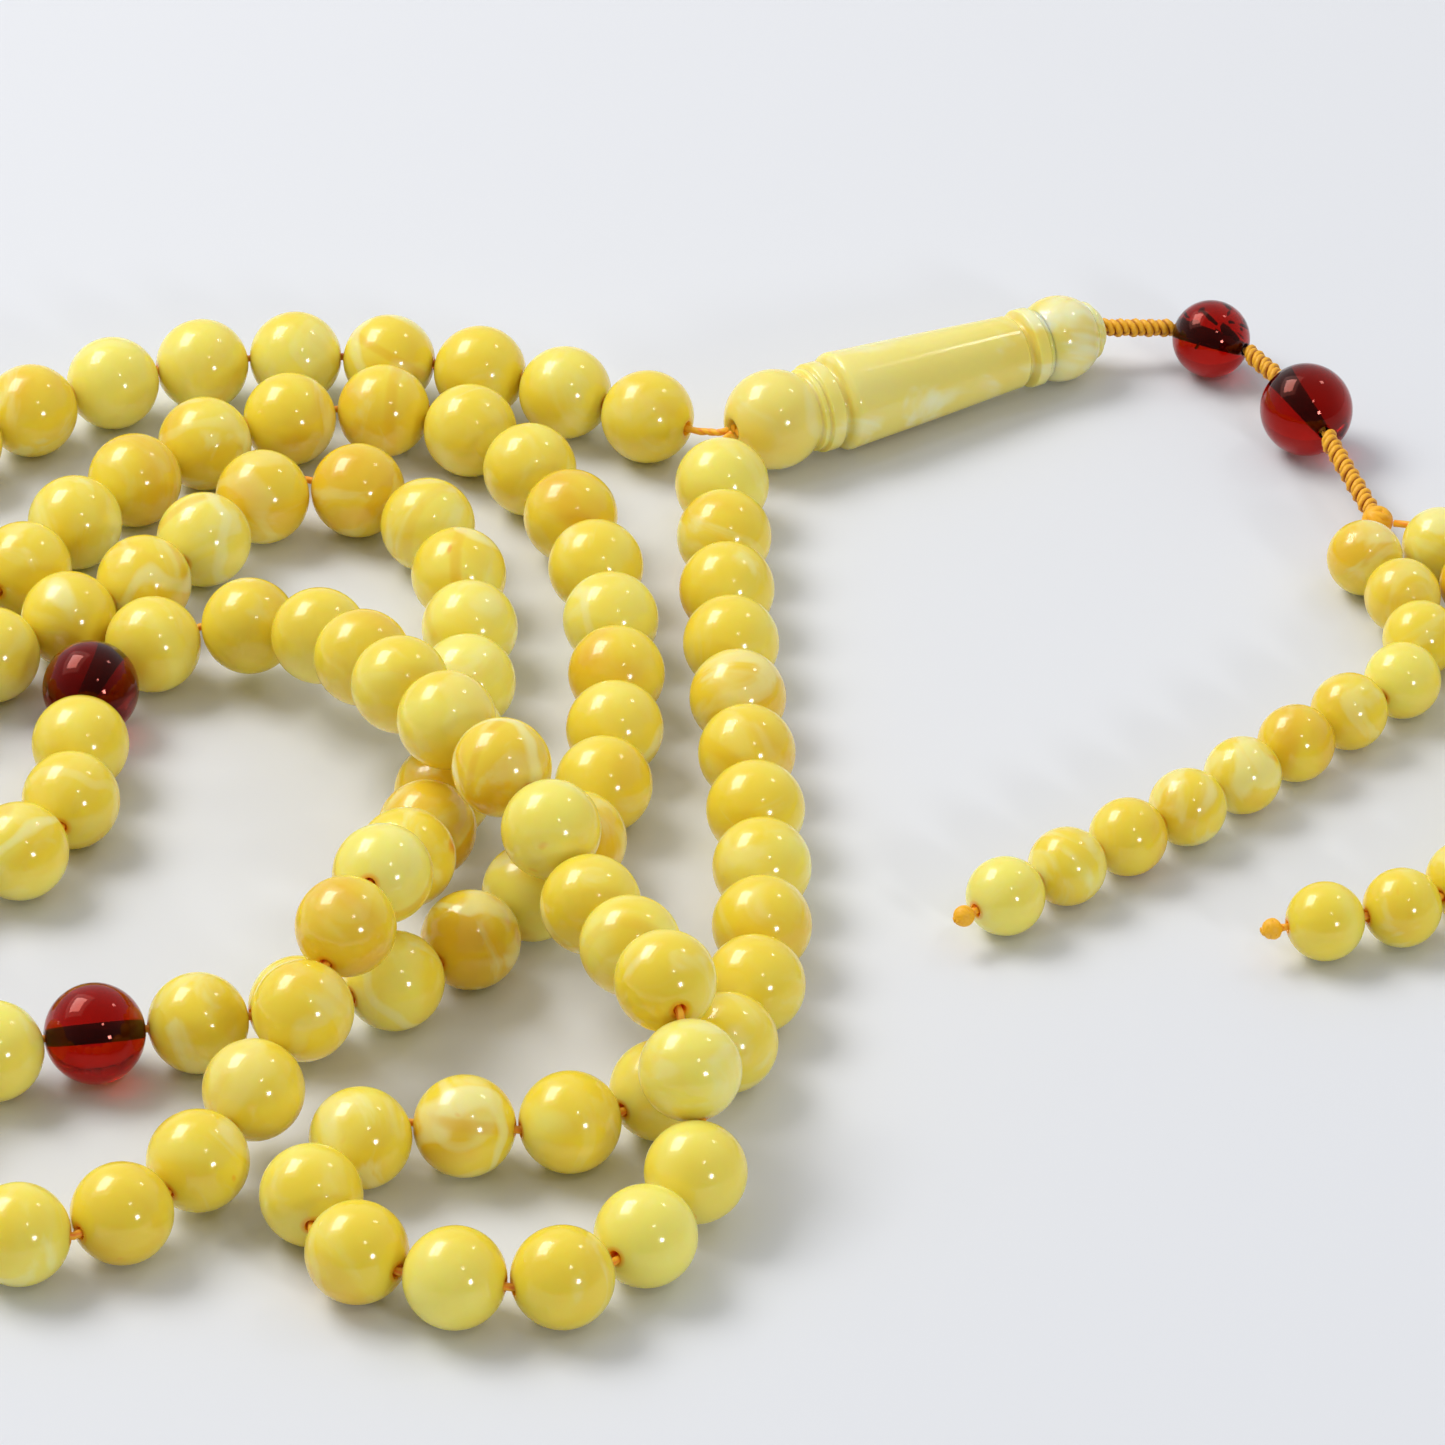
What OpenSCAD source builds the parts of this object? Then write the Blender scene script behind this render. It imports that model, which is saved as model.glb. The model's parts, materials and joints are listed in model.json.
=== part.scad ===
// Misbaha, a string of prayer beads laid on a flat surface, which is z = 0. One cord carries
// 99 counting beads and two divider beads. Both its ends run through a turned imam piece into
// a knotted tail with two red beads, which splits into two strands of small beads.
// All lengths are in millimetres and all angles in degrees.

/* [Beads] */
// Diameter of a counting bead and of a divider bead
bead_d = 10; // [9.7:0.05:10]
// Play between two neighbouring beads on a cord
bead_gap = 0.12; // [0.1:0.01:0.13]
// Diameter of the hole through a bead
bore_d = 1.7; // [1.6:0.1:2]
// Diameter of the first red bead of the tail
tail_bead_1_d = 8.5; // [7.5:0.1:9]
// Diameter of the second red bead of the tail
tail_bead_2_d = 10; // [9:0.1:10.5]
// Diameter of a small bead of the tassel strands
small_bead_d = 8; // [7.5:0.1:8]

/* [Cord] */
// Diameter of the cord
cord_d = 0.8; // [0.6:0.1:0.8]
// Width of the knotted stretches of the tail
braid_d = 1.9; // [1.6:0.1:2]
// Diameter of the knot where the tail splits
split_knot_d = 3.4; // [3:0.1:3.6]
// Diameter of the knot that ends a tassel strand
end_knot_d = 2.2; // [1.8:0.1:2.6]

/* [Imam] */
// Length of the turned imam piece
imam_len = 46; // [45.5:0.1:46.5]
// Diameter of the ball that faces the loop
ball_d = 10.8; // [10.4:0.1:10.8]
// Diameter of the barrel at its thick end
barrel_d = 10.8; // [10:0.1:10.8]
// Diameter of the barrel at its thin end
barrel_thin_d = 8.1; // [7.5:0.1:8.5]
// Diameter of the ball beside the tail
tail_ball_d = 9.4; // [9:0.1:9.4]
// Diameter of the bore that takes both cords
imam_bore_d = 2.4; // [2.2:0.1:2.6]

/* [Hidden] */
THIRD = 33;
LOOP_BEADS = 3 * THIRD + 2;
SINGLES = 20;
STRAND_BEADS = 11;
STEPS = 10;
PULLS = 3;
SIDES = 8;
ROUND = 48;

AMBER = [0.91, 0.8, 0.33];
IMAM_AMBER = [0.94, 0.88, 0.52];
CHERRY = [0.55, 0.06, 0.03];
CORD_GOLD = [0.87, 0.55, 0.1];

// The cord's route through the beads of the loop, from the first bead beside the imam to the
// last one. It rises in long low humps where a strand crosses over another.
LOOP_ROUTE = [
    [-8, 51, 5], [-26, 60, 5], [-45, 63, 5], [-63, 59, 5], [-79, 48, 5], [-90, 35, 5],
    [-93, 23, 5], [-84, 15, 5], [-73, 21, 5], [-65, 35, 5], [-50, 49, 5], [-31, 51, 5],
    [-17, 34, 5], [-11, 5, 5], [-14, -27, 5], [-30, -51, 5], [-52, -60, 5], [-68, -63, 5],
    [-80, -73, 5], [-78, -87, 5], [-65, -94, 5], [-53, -87, 5], [-43, -71, 9],
    [-35, -54, 16], [-31, -38, 10], [-28, -19, 5], [-26, 8, 5], [-30, 28, 5], [-40, 37, 5],
    [-50, 34, 5], [-58, 21, 5], [-73, 7, 5], [-86, -5, 5], [-93, -19, 5], [-84, -32, 5],
    [-71, -31, 5], [-65, -19, 5], [-65, -2, 5], [-55, 9, 5], [-42, 3, 9], [-30, -20, 16],
    [-19, -37, 16], [-12, -52, 12], [-5, -70, 16],
    [-3, -87, 5], [-16, -101, 5], [-34, -97, 5], [-39, -86, 5], [-31, -76, 5],
    [-17, -77, 5], [0, -64, 5], [4, -38, 5], [1, 5, 5], [0, 35, 5], [0, 45, 5]
];
// The two slack ends of the loop's cord, each listed from the imam's mouth to the first bead.
SLACK_A = [[0.6, 47.2, 5.75], [0, 47, 5.6], [-0.7, 47.2, 5.4], [-1.6, 47.7, 5.2]];
SLACK_B = [[1, 46.4, 5.75], [0.5, 46, 5.6], [0.1, 45.3, 5.4], [-0.05, 44.3, 5.2]];

// The imam lies on its barrel's shoulder and its tail ball, so its axis dips a little.
MOUTH = [0.8, 46.8, 5.75];
imam_turn = 30;
imam_dip = 1.45;

// Plain cord between the last braid and the split knot.
split_gap = 0.05;
// Heading, length and end height of each link of the tail.
braid_1 = [3, 8.7, tail_bead_1_d / 2];
bead_1 = [-32, tail_bead_1_d, tail_bead_1_d / 2];
braid_2 = [-64, 9.6, tail_bead_2_d / 2];
bead_2 = [-70, tail_bead_2_d, tail_bead_2_d / 2];
braid_3 = [-72, 14, 3.6];
split_knot = [-72, split_knot_d / 2 + split_gap, 3.4];
// The knots of a braid start this far from the hole it hangs from, and end this far from the
// next bead. Its plain cord ends short of that bead's far hole, where the next braid starts.
swing_gap = 1.6;
tied_gap = 1.4;
core_short = 0.65;
core_d = 0.9;
core_ball_d = 1;
// Distance between the knots of a braid, as a part of its width.
knot_pitch = 0.56;

// A strand's cord starts this far from the split knot and ends this far past its last bead. Its
// end knot sits a little further on.
strand_start = 0.2;
strand_end = 0.3;
end_knot_gap = 0.35;
// The two cords in the imam lie this far apart. They start this far inside its mouth and stop
// this far inside its other end.
pair_gap = 0.1;
inside_mouth = 0.6;
inside_end = 0.7;

// The routes of the two tassel strands, from the first small bead to past the last.
STRAND_A = [
    [75.2, 27.4, 4], [81, 14, 4], [83.5, -2, 4], [82, -18, 4], [76.5, -31, 4], [67, -39, 4],
    [57, -41.5, 4], [47, -42, 4]
];
STRAND_B = [
    [67.2, 24.9, 4], [72, 13.5, 4], [70.5, 3, 4], [63.6, -4.3, 4], [56, -12, 4], [47, -21, 4],
    [37.5, -29, 4], [26, -38.5, 4]
];

function two(i) = str(i < 10 ? "0" : "", i);
function single_name(i) = str("counting_bead_", two(i));
function small_name(strand, i) = str("tassel_bead_", strand, two(i));

// A smooth curve through the points of a route, held no lower than a bead's radius.
function blend(a, b, c, d, t) =
    0.5 * (2 * b + (c - a) * t + (2 * a - 5 * b + 4 * c - d) * t * t
    + (3 * b - a - 3 * c + d) * t * t * t);
function lifted(p, low) = [p.x, p.y, max(p.z, low)];
function curve(route, low) = [
    for (i = [0 : len(route) - 2], k = [0 : STEPS - 1])
        lifted(blend(route[max(i - 1, 0)], route[i], route[i + 1],
            route[min(i + 2, len(route) - 1)], k / STEPS), low)
];

// Where a ball of radius r around c cuts the stretch of path that starts at index j.
function cut_at(a, b, c, r) =
    let (d = b - a, f = a - c, half = d * f, q = half * half - d * d * (f * f - r * r))
    a + d * (sqrt(q) - half) / (d * d);
function step_on(path, c, j, r) =
    norm(path[j + 1] - c) >= r ? [cut_at(path[j], path[j + 1], c, r), j]
    : step_on(path, c, j + 1, r);
// Bead centres along a path, one pitch apart.
function centres(path, c, j, r, count) =
    count == 1 ? [c]
    : let (next = step_on(path, c, j, r)) concat([c], centres(path, next[0], next[1], r, count - 1));
function unit(v) = v / norm(v);
// A row of beads is [centres, ties], where a tie is a point of the cord before or after a bead.
// Each bead's hole runs from the tie before it to the tie after it. The ties start half way
// between the holes of a loosely strung row, and then the cord is pulled tight a few times.
function along(c, i) = unit(c[min(i + 1, len(c) - 1)] - c[max(i - 1, 0)]);
function loose_ties(c, r) = [
    c[0] - along(c, 0) * r,
    for (i = [0 : len(c) - 2]) (c[i] + c[i + 1] + (along(c, i) - along(c, i + 1)) * r) / 2,
    c[len(c) - 1] + along(c, len(c) - 1) * r
];
// How far the middle of bead i lies off the line between its two ties.
function off_line(c, ties, i) =
    let (a = unit(ties[i + 1] - ties[i]), to = c[i] - ties[i])
    to - a * (to * a);
function pulled(c, ties, times) =
    times == 0 ? ties
    : pulled(c, [
        for (i = [0 : len(c)]) ties[i]
            + (i > 0 ? off_line(c, ties, i - 1) / 2 : [0, 0, 0])
            + (i < len(c) ? off_line(c, ties, i) / 2 : [0, 0, 0])
    ], times - 1);
function threaded(route, d, count) =
    let (path = curve(route, d / 2), c = centres(path, path[0], 0, d + bead_gap, count))
    [c, pulled(c, loose_ties(c, d / 2), PULLS)];
function hole_axis(row, i) = unit(row[1][i + 1] - row[1][i]);

function heading(angle) = [cos(angle), sin(angle)];
function link_end(p, link) =
    let (run = heading(link[0]) * sqrt(link[1] * link[1] - (link[2] - p.z) * (link[2] - p.z)))
    [p.x + run.x, p.y + run.y, link[2]];
function reversed(list) = [for (i = [len(list) - 1 : -1 : 0]) list[i]];

LOOP = threaded(LOOP_ROUTE, bead_d, LOOP_BEADS);
SMALL_A = threaded(STRAND_A, small_bead_d, STRAND_BEADS);
SMALL_B = threaded(STRAND_B, small_bead_d, STRAND_BEADS);
IMAM_AXIS = [
    cos(imam_turn) * cos(imam_dip), sin(imam_turn) * cos(imam_dip), -sin(imam_dip)
];
IMAM_SIDE = [-sin(imam_turn), cos(imam_turn), 0];
TIP = MOUTH + IMAM_AXIS * imam_len;
TAIL_1 = link_end(TIP, braid_1);
TAIL_2 = link_end(TAIL_1, bead_1);
TAIL_3 = link_end(TAIL_2, braid_2);
TAIL_4 = link_end(TAIL_3, bead_2);
TAIL_5 = link_end(TAIL_4, braid_3);
SPLIT = link_end(TAIL_5, split_knot);

// The middle of everything that lies on the floor, which becomes the origin.
REACH = concat(
    [for (c = LOOP[0]) [c, bead_d / 2]],
    [for (c = concat(SMALL_A[0], SMALL_B[0])) [c, small_bead_d / 2]],
    [[(TAIL_1 + TAIL_2) / 2, tail_bead_1_d / 2]]
);
function middle(k) =
    (min([for (r = REACH) r[0][k] - r[1]]) + max([for (r = REACH) r[0][k] + r[1]])) / 2;
MIDDLE = [middle(0), middle(1), 0];

function count_to_loop(i) = i + floor((i - 1) / THIRD) - 1;

module aimed(at, along) {
    translate(at - MIDDLE) rotate([0, acos(along.z / norm(along)), atan2(along.y, along.x)])
        children();
}

module bead(at, along, d) {
    aimed(at, along) difference() {
        sphere(d = d, $fn = ROUND);
        cylinder(d = bore_d, h = d + 1, center = true, $fn = ROUND);
    }
}

module loop_bead(i) {
    bead(LOOP[0][i], hole_axis(LOOP, i), bead_d);
}

module counting_bead(i) {
    color(AMBER) loop_bead(count_to_loop(i));
}

module counting_beads(first, last) {
    for (i = [first : last]) counting_bead(i);
}

module divider_bead(i) {
    color(CHERRY) loop_bead(i * (THIRD + 1) - 1);
}

module tassel_bead(row, i) {
    color(AMBER) bead(row[0][i - 1], hole_axis(row, i - 1), small_bead_d);
}

// A cord swept along its points, with one ring of sides at each.
function ring(points, i, d) =
    let (
        along = unit(points[min(i + 1, len(points) - 1)] - points[max(i - 1, 0)]),
        side = unit(cross([0, 0, 1], along)),
        up = cross(along, side)
    )
    [for (k = [0 : SIDES - 1])
        points[i] + (side * cos(360 * k / SIDES) + up * sin(360 * k / SIDES)) * d / 2 - MIDDLE];

module cord(points) {
    last = len(points) - 1;
    corners = [for (i = [0 : last]) each ring(points, i, cord_d)];
    walls = [
        for (i = [0 : last - 1], k = [0 : SIDES - 1])
            let (a = i * SIDES + k, b = i * SIDES + (k + 1) % SIDES)
            each [[a, a + SIDES, b], [b, a + SIDES, b + SIDES]]
    ];
    start = [for (k = [0 : SIDES - 1]) k];
    end = [for (k = [SIDES - 1 : -1 : 0]) last * SIDES + k];
    color(CORD_GOLD) polyhedron(corners, concat([start], walls, [end]));
}

module main_cord() {
    cord(concat(SLACK_A, LOOP[1], reversed(SLACK_B)));
}

// Part of a circle on a lathe outline, listed from the first angle to the last.
function bow(centre, r, from, to, count) = [
    for (i = [0 : count]) centre + r * heading(from + (to - from) * i / count)
];
// Turns an outline of [distance, radius] points round the line that it is measured along.
module lathe(outline) {
    rotate_extrude($fn = ROUND) polygon([for (p = outline) [p.y, p.x]]);
}

// Half the outline of a row of snake knots, as [distance, radius], with the plain cord that it
// hangs from and the plain cord that leads on from it to the next bead.
function knots_outline(length, last_gap) =
    let (
        r = braid_d / 2,
        run = length - swing_gap - last_gap,
        count = round(run / (knot_pitch * braid_d)),
        pitch = run / count,
        meet = acos(pitch / braid_d),
        leave = asin(cord_d / braid_d)
    )
    concat(
        [[0, 0], [0, cord_d / 2]],
        [for (i = [0 : count]) each bow(
            [swing_gap + pitch * i, 0], r, i == 0 ? 180 - leave : 180 - meet,
            i == count ? leave : meet, 6
        )]
    );

// A braid that ends at a bead, with the plain cord that the bead turns on.
module tail_braid(from, near, far) {
    length = norm(near - from);
    color(CORD_GOLD) {
        aimed(from, near - from) lathe(concat(
            knots_outline(length, tied_gap), [[length, cord_d / 2], [length, 0]]
        ));
        aimed(near, far - near) {
            sphere(d = core_ball_d, $fn = ROUND);
            cylinder(d = core_d, h = norm(far - near) - core_short, $fn = ROUND);
        }
    }
}

// The last knot of this braid ends in a small flat beside the split knot.
module end_braid() {
    length = norm(TAIL_5 - TAIL_4);
    flat_r = 0.2;
    color(CORD_GOLD) aimed(TAIL_4, TAIL_5 - TAIL_4)
        lathe(concat(knots_outline(length, braid_d / 2), [[length, flat_r], [length, 0]]));
}

module tail_bead(near, far) {
    color(CHERRY) bead((near + far) / 2, far - near, norm(far - near));
}

module split_knot() {
    color(CORD_GOLD) translate(SPLIT - MIDDLE) sphere(d = split_knot_d, $fn = ROUND);
}

// A strand's cord leaves the split knot, runs through its beads and stops at its end knot.
module tassel_cord(row) {
    start = SPLIT + unit(row[1][0] - SPLIT) * (split_knot_d / 2 + strand_start);
    end = row[1][STRAND_BEADS] + hole_axis(row, STRAND_BEADS - 1) * strand_end;
    cord(concat([start], row[1], [end]));
}

module end_knot(row) {
    past_cord = end_knot_d / 2 + end_knot_gap;
    at = row[1][STRAND_BEADS] + hole_axis(row, STRAND_BEADS - 1) * past_cord;
    color(CORD_GOLD) translate(at - MIDDLE) sphere(d = end_knot_d, $fn = ROUND);
}

// A ring turned on the imam, with both its edges broken.
function ridge(start, end, r) = [
    [start, r - 0.25], [start + 0.2, r], [end - 0.2, r], [end, r - 0.25]
];

// The imam's half outline as [distance from its mouth, radius]: its ball, two rings, the
// barrel with a softened shoulder at either end, two more rings, the other ball and its collar.
function imam_outline() =
    let (
        r1 = ball_d / 2, r2 = barrel_d / 2, r3 = barrel_thin_d / 2, r4 = tail_ball_d / 2,
        thick = 13.5, thin = 34.8, taper = atan2(r2 - r3, thin - thick),
        ball_1 = [r1, 0], ball_2 = [imam_len - 4.95, 0]
    )
    concat(
        bow(ball_1, r1, 160, 49, 14),
        [[9.2, 4.05]],
        ridge(9.3, 9.9, 4.55),
        [[9.95, 4.2]],
        ridge(10.1, 11.7, 4.9),
        bow([12.15, 4.3], 0.4, 180, 360, 6),
        bow([thick, r2 - 0.9], 0.9, 170, 90 - taper, 6),
        bow([thin, r3 - 0.7], 0.7, 90 - taper, 0, 6),
        bow([35.9, 3.4], 0.3, 180, 360, 4),
        ridge(36.3, 37.7, 4.35),
        [[37.8, 3.7]],
        ridge(37.9, 38.4, 3.95),
        [[38.5, 3.4]],
        bow(ball_2, r4, 126, 46, 12),
        ridge(imam_len - 1.6, imam_len - 0.95, 3.2),
        [[imam_len - 0.9, 2.7]],
        bow([imam_len - 0.9, 1.7], 0.9, 85, 5, 5)
    );

module imam() {
    outline = imam_outline();
    color(IMAM_AMBER) aimed(MOUTH, IMAM_AXIS) difference() {
        lathe(concat([[outline[0].x, 0]], outline, [[imam_len, 0]]));
        translate([0, 0, -1]) cylinder(d = imam_bore_d, h = imam_len + 2, $fn = ROUND);
    }
}

// The two ends of the loop's cord, side by side inside the imam.
module imam_cord() {
    for (side = [-1, 1]) {
        shift = IMAM_SIDE * side * (cord_d + pair_gap) / 2;
        color(CORD_GOLD) aimed(MOUTH + IMAM_AXIS * inside_mouth + shift, IMAM_AXIS)
            cylinder(d = cord_d, h = imam_len - inside_mouth - inside_end, $fn = ROUND);
    }
}

main_cord();
imam();
imam_cord();
divider_bead(1);  // divider_bead_1
divider_bead(2);  // divider_bead_2
for (i = [1 : SINGLES]) counting_bead(i);
counting_beads(SINGLES + 1, THIRD);  // counting_beads_21_33
counting_beads(THIRD + 1, 2 * THIRD);  // counting_beads_34_66
counting_beads(2 * THIRD + 1, 3 * THIRD);  // counting_beads_67_99
tail_braid(TIP, TAIL_1, TAIL_2);  // tail_braid_1
tail_bead(TAIL_1, TAIL_2);  // tail_bead_1
tail_braid(TAIL_2, TAIL_3, TAIL_4);  // tail_braid_2
tail_bead(TAIL_3, TAIL_4);  // tail_bead_2
end_braid();  // tail_braid_3
split_knot();
tassel_cord(SMALL_A);  // tassel_cord_a
end_knot(SMALL_A);  // end_knot_a
tassel_cord(SMALL_B);  // tassel_cord_b
end_knot(SMALL_B);  // end_knot_b
for (i = [1 : STRAND_BEADS])
    tassel_bead(SMALL_A, i);
for (i = [1 : STRAND_BEADS])
    tassel_bead(SMALL_B, i);
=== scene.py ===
"""The looks of a misbaha, a string of amber prayer beads laid on a pale table.

Everything is in metres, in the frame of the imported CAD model. Lengths in the tables below are in
millimetres where they say so, and are multiplied by MM.
"""
import json
import math
import random

import bpy
import numpy as np
from mathutils import Matrix, Vector


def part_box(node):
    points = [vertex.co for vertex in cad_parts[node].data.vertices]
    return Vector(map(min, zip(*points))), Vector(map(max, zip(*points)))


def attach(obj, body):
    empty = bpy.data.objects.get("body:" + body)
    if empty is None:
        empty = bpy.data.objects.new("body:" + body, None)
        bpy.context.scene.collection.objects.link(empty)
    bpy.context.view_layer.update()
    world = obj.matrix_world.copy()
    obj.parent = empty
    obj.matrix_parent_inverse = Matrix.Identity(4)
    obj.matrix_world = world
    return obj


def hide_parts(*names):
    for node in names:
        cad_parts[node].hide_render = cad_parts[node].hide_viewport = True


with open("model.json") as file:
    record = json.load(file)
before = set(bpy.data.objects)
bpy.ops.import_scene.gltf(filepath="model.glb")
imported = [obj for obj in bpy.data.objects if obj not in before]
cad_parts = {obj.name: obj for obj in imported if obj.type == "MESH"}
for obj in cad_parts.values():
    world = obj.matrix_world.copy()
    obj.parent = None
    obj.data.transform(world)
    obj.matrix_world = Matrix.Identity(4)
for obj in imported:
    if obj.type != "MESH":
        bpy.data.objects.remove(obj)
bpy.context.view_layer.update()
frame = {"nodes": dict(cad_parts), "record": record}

MM = 0.001
THIRD = 33
SINGLES = 20
STRAND_BEADS = 11
STEPS = 10
PULLS = 3
BEAD_GAP = 0.12 * MM
CORD_D = 0.8 * MM
BRAID_D = 2 * MM

# ---------------------------------------------------------------- where things are, from the CAD


def middle(node):
    low, high = (Vector(corner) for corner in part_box(node))
    return (low + high) / 2


def size(node):
    low, high = (Vector(corner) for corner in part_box(node))
    return max(high - low)


JOINTS = {j["name"]: j for j in frame["record"]["behaviour"]["joints"]}


def pivot(joint):
    return Vector(JOINTS[joint]["pos_m"])


def turning_axis(joint):
    return Vector(JOINTS[joint]["axis"]).normalized()


# The routes of the three strings of beads, in mm, as in part.scad.
LOOP_ROUTE = [
    (-8, 51, 5), (-26, 60, 5), (-45, 63, 5), (-63, 59, 5), (-79, 48, 5), (-90, 35, 5),
    (-93, 23, 5), (-84, 15, 5), (-73, 21, 5), (-65, 35, 5), (-50, 49, 5), (-31, 51, 5),
    (-17, 34, 5), (-11, 5, 5), (-14, -27, 5), (-30, -51, 5), (-52, -60, 5), (-68, -63, 5),
    (-80, -73, 5), (-78, -87, 5), (-65, -94, 5), (-53, -87, 5), (-43, -71, 9), (-35, -54, 16),
    (-31, -38, 10), (-28, -19, 5), (-26, 8, 5), (-30, 28, 5), (-40, 37, 5), (-50, 34, 5),
    (-58, 21, 5), (-73, 7, 5), (-86, -5, 5), (-93, -19, 5), (-84, -32, 5), (-71, -31, 5),
    (-65, -19, 5), (-65, -2, 5), (-55, 9, 5), (-42, 3, 9), (-30, -20, 16), (-19, -37, 16),
    (-12, -52, 12), (-5, -70, 16), (-3, -87, 5), (-16, -101, 5), (-34, -97, 5), (-39, -86, 5),
    (-31, -76, 5), (-17, -77, 5), (0, -64, 5), (4, -38, 5), (1, 5, 5), (0, 35, 5), (0, 45, 5)
]
SLACK_A = [(0.6, 47.2, 5.75), (0, 47, 5.6), (-0.7, 47.2, 5.4), (-1.6, 47.7, 5.2)]
SLACK_B = [(1, 46.4, 5.75), (0.5, 46, 5.6), (0.1, 45.3, 5.4), (-0.05, 44.3, 5.2)]
STRAND_A = [
    (75.2, 27.4, 4), (81, 14, 4), (83.5, -2, 4), (82, -18, 4), (76.5, -31, 4), (67, -39, 4),
    (57, -41.5, 4), (47, -42, 4)
]
STRAND_B = [
    (67.2, 24.9, 4), (72, 13.5, 4), (70.5, 3, 4), (63.6, -4.3, 4), (56, -12, 4), (47, -21, 4),
    (37.5, -29, 4), (26, -38.5, 4)
]
bead_d = size("counting_bead_04")
small_d = size("tassel_bead_a01")
# Where the routes' own zero lies in the frame.
ZERO = middle("counting_bead_01") - Vector(LOOP_ROUTE[0]) * MM
ZERO.z = 0


def placed(points):
    return [Vector(p) * MM + ZERO for p in points]


def blend_point(a, b, c, d, t):
    return 0.5 * (
        2 * b + (c - a) * t + (2 * a - 5 * b + 4 * c - d) * t * t
        + (3 * b - a - 3 * c + d) * t * t * t
    )


def curve_through(points, low=-1.0, steps=STEPS):
    """A smooth curve through the points, held no lower than low."""
    last = len(points) - 1
    out = []
    for i in range(last):
        around = [points[max(i - 1, 0)], points[i], points[i + 1], points[min(i + 2, last)]]
        for k in range(steps):
            p = blend_point(*around, k / steps)
            p.z = max(p.z, low)
            out.append(p)
    return out


def bead_centres(points, d, count):
    """Bead centres along a route, one diameter and the play between two beads apart."""
    path = curve_through(points, d / 2)
    reach = d + BEAD_GAP
    centre, j, out = path[0], 0, [path[0]]
    while len(out) < count:
        while (path[j + 1] - centre).length < reach:
            j += 1
        step, back = path[j + 1] - path[j], path[j] - centre
        half = step.dot(back)
        root = half * half - step.dot(step) * (back.dot(back) - reach * reach)
        centre = path[j] + step * ((math.sqrt(root) - half) / step.dot(step))
        out.append(centre)
    return out


def off_line(centre, start, end):
    """How far a bead's middle lies off the line between the two ties of its cord."""
    ahead = (end - start).normalized()
    to = centre - start
    return to - ahead * to.dot(ahead)


def ties_of(centres, r):
    """Points of the cord before, between and after the beads, pulled tight as in part.scad."""
    last = len(centres) - 1
    ahead = [
        (centres[min(i + 1, last)] - centres[max(i - 1, 0)]).normalized() for i in range(last + 1)
    ]
    ties = [centres[0] - ahead[0] * r]
    for i in range(last):
        ties.append((centres[i] + centres[i + 1] + (ahead[i] - ahead[i + 1]) * r) / 2)
    ties.append(centres[-1] + ahead[-1] * r)
    for _ in range(PULLS):
        off = [off_line(centres[i], ties[i], ties[i + 1]) / 2 for i in range(last + 1)]
        ties = [
            tie + (off[i - 1] if i else Vector()) + (off[i] if i <= last else Vector())
            for i, tie in enumerate(ties)
        ]
    return ties


def strung(route, d, count):
    """A row of beads: their middles, the directions of their holes, and their cord's ties."""
    centres = bead_centres(placed(route), d, count)
    ties = ties_of(centres, d / 2)
    axes = [(b - a).normalized() for a, b in zip(ties, ties[1:])]
    return centres, axes, ties


loop, loop_axes, loop_ties = strung(LOOP_ROUTE, bead_d, 3 * THIRD + 2)
strands = {
    key: strung(route, small_d, STRAND_BEADS) for key, route in (("a", STRAND_A), ("b", STRAND_B))
}

mouth = pivot("imam_spin")
imam_axis = turning_axis("imam_spin")
tip = pivot("tail_swing_1")
split = pivot("strand_a_swing")

# ---------------------------------------------------------------- camera, floor and light

# The camera looks down at the routes' zero by this angle.
ELEVATION = math.radians(34)
VIEW_ANGLE = math.radians(8.49)
CAMERA_DISTANCE = 1.0
camera_data = bpy.data.cameras.new("camera")
camera_data.angle = VIEW_ANGLE
camera_data.clip_start = 0.05 * CAMERA_DISTANCE
camera = bpy.data.objects.new("camera", camera_data)
camera.location = ZERO + CAMERA_DISTANCE * Vector(
    (0, -math.cos(ELEVATION), math.sin(ELEVATION)))
camera.rotation_euler = (math.pi / 2 - ELEVATION, 0, 0)
bpy.context.collection.objects.link(camera)
bpy.context.scene.camera = camera


def new_material(name):
    """A new material, its node tree and its shader."""
    material = bpy.data.materials.new(name)
    material.use_nodes = True
    tree = material.node_tree
    shader = tree.nodes["Principled BSDF"]
    return material, tree, shader


def add(tree, kind, **values):
    """A new node, with its sockets and properties set by name."""
    node = tree.nodes.new(kind)
    for key, value in values.items():
        if key in node.inputs:
            node.inputs[key].default_value = value
        else:
            setattr(node, key, value)
    return node


def add_object(name, mesh, material):
    thing = bpy.data.objects.new(name, mesh)
    bpy.context.collection.objects.link(thing)
    mesh.materials.append(material)
    return thing


def mesh_from(name, verts, faces, smooth=True):
    """A mesh of the given corners and faces."""
    mesh = bpy.data.meshes.new(name)
    mesh.from_pydata([tuple(v) for v in verts], [], faces)
    mesh.validate()
    mesh.update()
    if smooth:
        mesh.polygons.foreach_set("use_smooth", [True] * len(mesh.polygons))
    return mesh


floor_material, tree, shader = new_material("table")
shader.inputs["Base Color"].default_value = (0.76, 0.775, 0.81, 1)
shader.inputs["Roughness"].default_value = 0.6
shader.inputs["Specular IOR Level"].default_value = 0.15
FLOOR_REACH = 3.0
floor_corners = [(x * FLOOR_REACH, y * FLOOR_REACH, 0)
                 for x, y in ((-1, -1), (1, -1), (1, 1), (-1, 1))]
floor = add_object("table", mesh_from("table", floor_corners, [(0, 1, 2, 3)]), floor_material)

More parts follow.
